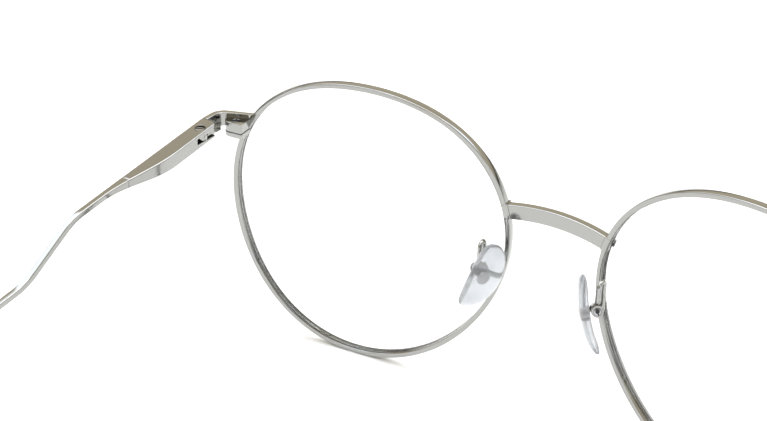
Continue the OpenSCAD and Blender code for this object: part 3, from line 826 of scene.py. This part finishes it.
# ------------ Temple fronts
# Each temple starts as a wide flat bar of nickel silver. Its front is slotted from the inner side for
# the tongue, counterbored on top for the hinge screw, and it tapers back to the seam with the wire.
wire_size, temple_full, temple_taper = 1.0, 7.6, 15.0
temple_nose = nose_share * temple_width
tongue_gap = 0.06
slot_back, slot_round = 2.2, 0.5
hinge_head, hinge_sink, hinge_head_gap = 0.85, 0.42, 0.06
nose_start, nose_turns, nose_lap = 11, 16, 0.2
bar_places = 40
seam_y = hinge_depth + 17.2


def taper_share(y):
    """How far the temple has narrowed from its full size to the wire."""
    t = min(max((y - hinge_depth - temple_full) / temple_taper, 0.0), 1.0)
    return t * t * (3 - 2 * t)


def temple_ring(side, y, inner=None, edge=0.2):
    """The temple's section at one place: a square-cornered bar with rolled edges."""
    share = taper_share(y)
    slope = (temple_top(y + 0.1) - temple_top(y - 0.1)) / 0.2
    high = temple_top(y)
    height = temple_height + (wire_size - temple_height) * share
    low = high - height * math.sqrt(1 + slope ** 2 * share)
    inside = temple_out - (temple_width + (wire_size - temple_width) * share)
    if inner is not None:
        inside = max(inside, inner)
    return [side_point(side, p.x, y, p.y) for p in rounded_box(inside, temple_out, low, high, edge)]


half_slot = tongue_height / 2 + tongue_gap
slot_low, slot_high = tongue_mid - half_slot, tongue_mid + half_slot
slot_plan = rounded_box(
    hinge_x - 4, hinge_x + tongue_half + tongue_gap, hinge_depth - 5, hinge_depth + slot_back,
    0, 0, slot_round, 0)
head_seat = hinge_top - hinge_sink
head_bore = circle(hinge_head + hinge_head_gap, middle=hinge_place)
for side_name, side in SIDES:
    rings = []
    for k in range(nose_turns):
        a = math.radians(nose_start + (90 - nose_start) * k / nose_turns)
        rings.append(temple_ring(
            side, hinge_depth - temple_nose * math.cos(a), hinge_x - temple_nose * math.sin(a)))
    bar_start = hinge_depth + nose_lap
    for k in range(bar_places + 1):
        rings.append(temple_ring(side, bar_start + (seam_y - bar_start) * k / bar_places))
    mesh = bmesh.new()
    add_sweep(mesh, rings)
    bar = rough_piece(mesh)
    on_side = partial(side_point, side)
    carve(bar, rough_prism(slot_plan, slot_low, slot_high, on_side, cutter=True))
    carve(bar, rough_prism(head_bore, head_seat, hinge_top + 2, on_side, cutter=True))
    temple = f"{side_name}_temple"
    finish_carved(f"{side_name}_temple_bar", bar, f"{side_name}_temple_front", body=temple, bevel=0.05)
    add_screw(f"{side_name}_hinge_cheese_head", f"{side_name}_hinge_screw", temple,
              (side * hinge_x, hinge_depth, head_seat), UP, turn=side * math.radians(25),
              head=hinge_head, head_height=0.35, shank=0.5, shank_length=1.88, slot=0.3)

# ------------ Temple wires
# From the seam back, each temple is square nickel-silver wire, pressed into one rounded step. Its last
# part is turned down to a round core, which is bent over the ear inside the tip.
ear_bend, bend_radius, tip_radius, tip_length = 98.0, 14.0, 1.9, 34.0
sleeve_lead, core_length = 14.0, 20.0
core_half, core_lead, core_steps = 0.42, 1.5, 24
wire_places, wire_lap, wire_edge = 140, 1, 0.15
bend_y = hinge_depth + ear_bend
bend_z = temple_top(bend_y) - wire_size / math.cos(temple_fall) / 2
wire_x = temple_out - wire_size / 2
tip_drop = bend_z - rim_low - tip_radius
tip_reach = math.hypot(bend_radius, tip_length)
tip_turn = math.atan2(bend_radius, tip_length) - temple_fall + math.asin(
    (tip_drop - bend_radius * math.cos(temple_fall)) / tip_reach)


def rod_point(side, run):
    """A place on the rod's middle line and its fall there, by the run past the ear bend's start."""
    arc = bend_radius * tip_turn
    fall = min(max(run / bend_radius, 0.0), tip_turn)
    y, z = bend_radius * math.sin(fall), bend_radius * (math.cos(fall) - 1)
    rest = min(run, 0.0) + max(run - arc, 0.0)
    y, z = y + rest * math.cos(fall), z - rest * math.sin(fall)
    across, down = math.cos(temple_fall), math.sin(temple_fall)
    place = Vector((side * wire_x, bend_y + y * across + z * down, bend_z - y * down + z * across))
    return place, fall + temple_fall


wire_end = bend_y - (sleeve_lead - wire_lap) * math.cos(temple_fall)
bend_run = bend_radius * tip_turn
core = rounded_box(-core_half, core_half, -core_half, core_half, 0.3)
core_start, core_end = core_lead - sleeve_lead, bend_run + core_length
for side_name, side in SIDES:
    rings = [temple_ring(side, seam_y + (wire_end - seam_y) * k / wire_places, edge=wire_edge)
             for k in range(wire_places + 1)]
    for k in range(core_steps + 1):
        place, fall = rod_point(side, core_start + (core_end - core_start) * k / core_steps)
        rings.append([
            place + side_point(side, p.x, p.y * math.sin(fall), p.y * math.cos(fall)) for p in core])
    mesh = bmesh.new()
    add_sweep(mesh, rings)
    finish_piece(f"{side_name}_temple_square_wire", mesh, f"{side_name}_temple_wire",
                 body=f"{side_name}_temple", bevel=0.04)

# ------------ Temple tips
# Each tip is a dark acetate sleeve, pushed warm over the wire's core. It is bent down behind the ear
# and swells to a fuller rounded end.


def path_tree():
    """A round rod along a line of points, whose swell says how thick it is at each."""
    tree, given = new_tree("rod_along_path", (("Rod Radius", "Float"), ("Steps Round", "Int")))
    line = add_node(tree, "GeometryNodeMeshToCurve", given.outputs["Geometry"])
    ring = add_node(tree, "GeometryNodeCurvePrimitiveCircle", Radius=given.outputs["Rod Radius"],
                    Resolution=given.outputs["Steps Round"])
    swell = add_node(tree, "GeometryNodeInputNamedAttribute", data_type="FLOAT", Name="swell")
    skin = add_node(tree, "GeometryNodeCurveToMesh", Curve=line.outputs[0], Fill_Caps=True,
                    Profile_Curve=ring.outputs["Curve"], Scale=swell.outputs[0])
    return end_tree(tree, given, skin.outputs[0])


rod_along_path = path_tree()


def rod_mesh(points, radius, material, steps_round):
    """A rod along points, each a place and a swell."""
    base = bmesh.new()
    layer = base.verts.layers.float.new("swell")
    made = []
    for place, swell in points:
        vert = base.verts.new(place)
        vert[layer] = swell
        made.append(vert)
    for one, two in zip(made, made[1:]):
        base.edges.new((one, two))
    return grown_mesh(rod_along_path, base, {
        "Material": material, "Rod Radius": radius, "Steps Round": steps_round})


def acetate():
    """Dark polished acetate with a faint cloudiness."""
    made, tree, sockets = new_material("dark_acetate", Coat_Weight=0.4, Coat_Roughness=0.05)
    tones = (0.35, (0.010, 0.010, 0.011)), (0.65, (0.028, 0.026, 0.025))
    feed(tree, sockets["Base Color"], ramp(tree, grain(tree, 260.0, 4.0), tones))
    feed(tree, sockets["Roughness"], between(tree, grain(tree, 900.0, 3.0), 0.16, 0.30))
    return made


tip_acetate = acetate()
sleeve_radius, mouth_length, sleeve_places, end_steps = 1.25, 0.8, 90, 12
sleeve_run = sleeve_lead - mouth_length + bend_run + tip_length
for side_name, side in SIDES:
    points = []
    for back, swell in ((0.0, 0.86), (0.06, 0.93), (0.16, 0.98), (0.3, 1.0)):
        points.append((rod_point(side, back - sleeve_lead)[0], swell))
    for k in range(sleeve_places + 1):
        run = mouth_length - sleeve_lead + sleeve_run * k / sleeve_places
        past = max(run - bend_run, 0.0) / tip_length
        points.append((rod_point(side, run)[0], 1 + (tip_radius / sleeve_radius - 1) * past))
    for k in range(1, end_steps):
        a = math.radians(90 * k / (end_steps - 0.5))
        points.append((rod_point(side, bend_run + tip_length + tip_radius * math.sin(a))[0],
                       tip_radius / sleeve_radius * math.cos(a)))
    finish_piece(f"{side_name}_tip_sleeve", rod_mesh(points, sleeve_radius, tip_acetate, 40),
                 f"{side_name}_temple_tip", material=tip_acetate, slot="sleeve_plastic",
                 body=f"{side_name}_temple", weighted=False)

# ------------ Pad arms
# Each pad hangs on a round nickel-silver wire. Its foot is soldered to the back of the rim, and it
# rises into a tight hairpin loop that the optician bends, then drops to the pad's box.
pad_offset, pad_depth, pad_level = 9.0, 3.5, 0.7
pad_wall = 1.6
pad_turn = Euler([math.radians(a) for a in (15, -12, -39)]).to_matrix()
box_radius = 0.95
box_x, box_z = pad_wall / 2 + box_radius + 0.2, 0.5
arm_wire, arm_leg, arm_lead, loop_radius = 0.75, 3.6, 0.8, 0.85
arm_heading, foot_bend = math.radians(-85), math.radians(55)
foot_level = -3.0


def pad_point(side, x, y, z):
    """A point given in the frame of a pad: -x faces the nose, z runs up the pad and y back."""
    place = Vector((pad_offset, pad_depth, -pad_level)) + pad_turn @ Vector((x, y, z))
    return side_point(side, *place)


def arm_points():
    """Middle line of the left arm from the box to the rim, with the flare of solder at the foot."""
    start = pad_point(1, box_x, 0, box_z)
    heading = Vector((math.cos(arm_heading), math.sin(arm_heading), 0))
    points = [(start + UP * arm_lead, 1.0), (start + UP * arm_leg * 0.6, 1.0)]
    top = start + heading * loop_radius + UP * arm_leg
    for k in range(17):
        a = math.pi * k / 16
        points.append((top - heading * loop_radius * math.cos(a) + UP * loop_radius * math.sin(a), 1.0))
    drop = start + heading * loop_radius * 2
    angle = height_angle(-foot_level, nose=True)
    angle = math.pi + math.asin(-foot_level / outline_radius(2 * math.pi - angle))
    foot = lens_point(1, outline_radius(angle) * math.cos(angle), rim_depth / 2, 0)
    way = Vector((foot.x - drop.x, foot.y - drop.y, 0))
    run = (way.length - loop_radius * (1 - math.cos(foot_bend))) / math.sin(foot_bend)
    elbow = foot_level + run * math.cos(foot_bend) + loop_radius * math.sin(foot_bend)
    way.normalize()
    for k in range(9):
        a = foot_bend * k / 8
        points.append((Vector((drop.x, drop.y, elbow)) + way * loop_radius * (1 - math.cos(a))
                       - UP * loop_radius * math.sin(a), 1.0))
    last = points[-1][0]
    along = way * math.sin(foot_bend) - UP * math.cos(foot_bend)
    for share, swell in ((0.5, 1.0), (0.8, 1.0), (0.9, 1.08), (0.97, 1.22), (1.04, 1.4)):
        points.append((last + along * run * share, swell))
    return points


for side_name, side in SIDES:
    points = [(side_point(side, *place), swell) for place, swell in arm_points()]
    finish_piece(f"{side_name}_pad_arm_wire", rod_mesh(points, arm_wire / 2, frame_metal, 28),
                 f"{side_name}_pad_arm", weighted=False)

# ------------ Pad boxes
# A short round box is soldered to the end of each arm. It is slotted towards the nose for the stem of
# the pad, and drilled across for the pad screw, whose head sits in a ring at the back.
box_half = 1.0
stem_radius, stem_half, stem_gap = 0.62, 0.42, 0.07
slot_half, slot_reach = stem_half + stem_gap, stem_radius + stem_gap
pad_head, pad_head_seat, pad_head_gap = 0.6, 0.5, 0.03


def box_point(side, x, z, y):
    """A point of the box's round plan, at a distance along its screw."""
    return pad_point(side, box_x + x, y, box_z + z)


stem_slot = rounded_box(-2, slot_reach, -slot_reach, slot_reach, 0, 0.5, 0.5, 0)
pad_bore = circle(pad_head + pad_head_gap)
for side_name, side in SIDES:
    in_box = partial(box_point, side)
    box = rough_prism(circle(box_radius), -box_half, box_half, in_box)
    carve(box, rough_prism(stem_slot, -slot_half, slot_half, in_box, cutter=True))
    carve(box, rough_prism(pad_bore, pad_head_seat, box_half + 1, in_box, cutter=True))
    finish_carved(f"{side_name}_pad_round_box", box, f"{side_name}_pad_box", bevel=0.05)
    add_screw(f"{side_name}_pad_cheese_head", f"{side_name}_pad_screw", "front",
              in_box(0, 0, pad_head_seat), pad_point(side, 0, 1, 0) - pad_point(side, 0, 0, 0),
              turn=side * math.radians(35), head=pad_head, head_height=0.45, shank=0.3,
              shank_length=1.25, slot=0.2)

# ------------ Pad inserts
# A thin stamped plate lies inside each pad and stiffens it. The stem that stands on it carries the eye
# that the pad screw goes through.
insert_metal = polished_metal("stamped_insert", (0.45, 0.44, 0.43), 0.22, 600.0)
insert_wall, insert_width, insert_length = 0.5, 1.9, 2.3
insert_round = 0.9
stem_neck, neck_inset, stem_eye = 0.32, 0.01, 0.34
plate = rounded_box(
    -insert_width / 2, insert_width / 2, -insert_length / 2, insert_length / 2, insert_round)
neck = rounded_box(0, box_x, -stem_neck, stem_neck, 0)


def stem_point(side, x, z, y):
    """A point of the stem's side view, at a distance across it."""
    return pad_point(side, x, y, box_z + z)


def plate_point(side, y, z, x):
    """A point of the plate's face, at a distance through it."""
    return pad_point(side, x, y, box_z + z)


for side_name, side in SIDES:
    across = partial(stem_point, side)
    mesh = bmesh.new()
    add_prism(mesh, plate, -insert_wall / 2, insert_wall / 2, partial(plate_point, side))
    add_prism(mesh, neck, -stem_half + neck_inset, stem_half - neck_inset, across)
    stem = rough_piece(mesh)
    eye_ring = circle(stem_radius, middle=(box_x, 0))
    carve(stem, rough_prism(eye_ring, -stem_half, stem_half, across), operation="UNION")
    carve(stem, rough_prism(circle(stem_eye, middle=(box_x, 0)), -1, 1, across, cutter=True))
    finish_carved(f"{side_name}_insert_plate", stem, f"{side_name}_pad_insert", material=insert_metal,
                  slot="insert_metal", body=f"{side_name}_pad", bevel=0.04)

# ------------ Nose pads
# Each pad is moulded round its insert in clear soft silicone. It is a rounded crescent with one full
# side and one flatter side, bowed towards the nose, and crowned so that its edge is thin.
pad_length, pad_width, pad_curve = 12.8, 5.8, 22.0
flat_share, flat_round, full_round = 0.42, 0.6, 0.85


def clear_silicone():
    """Clear soft silicone: light goes through, slightly clouded, with a soft gloss."""
    made, tree, sockets = new_material("clear_silicone", Transmission_Weight=0.78, IOR=1.41)
    cloud = grain(tree, 240.0, 3.0)
    tones = (0.3, (0.50, 0.52, 0.55)), (0.7, (0.68, 0.70, 0.73))
    feed(tree, sockets["Base Color"], ramp(tree, cloud, tones))
    feed(tree, sockets["Roughness"], between(tree, cloud, 0.06, 0.16))
    return made


def pad_edge(angle):
    """The pad's outline: back or front of its middle, and up."""
    across, up = math.cos(angle), pad_length / 2 * math.sin(angle)
    if across > 0:
        return flat_share * pad_width * across ** flat_round, up
    return -(1 - flat_share) * pad_width * (-across) ** full_round, up


soft_pad = clear_silicone()
pad_turns, pad_rings = 64, 12
for side_name, side in SIDES:
    mesh = bmesh.new()
    domes = []
    for way in (1, -1):
        rows = []
        for ring in range(1, pad_rings + (1 if way > 0 else 0)):
            share = math.sin(math.pi / 2 * ring / pad_rings)
            half = pad_wall / 2 * max(1 - share ** 5, 0.0) ** 0.5
            row = []
            for k in range(pad_turns):
                y, z = (share * size for size in pad_edge(2 * math.pi * (k + 0.5) / pad_turns))
                bow = pad_curve - math.sqrt(pad_curve ** 2 - z ** 2)
                row.append(mesh.verts.new(pad_point(side, bow + way * half, y, z)))
            rows.append(row)
        domes.append((mesh.verts.new(pad_point(side, way * pad_wall / 2, 0, 0)), rows))
    domes[1][1].append(domes[0][1][-1])
    for pole, rows in domes:
        add_dome(mesh, pole, rows)
    finish_piece(f"{side_name}_soft_pad", mesh, f"{side_name}_nose_pad", material=soft_pad,
                 slot="pad_silicone", body=f"{side_name}_pad", weighted=False)
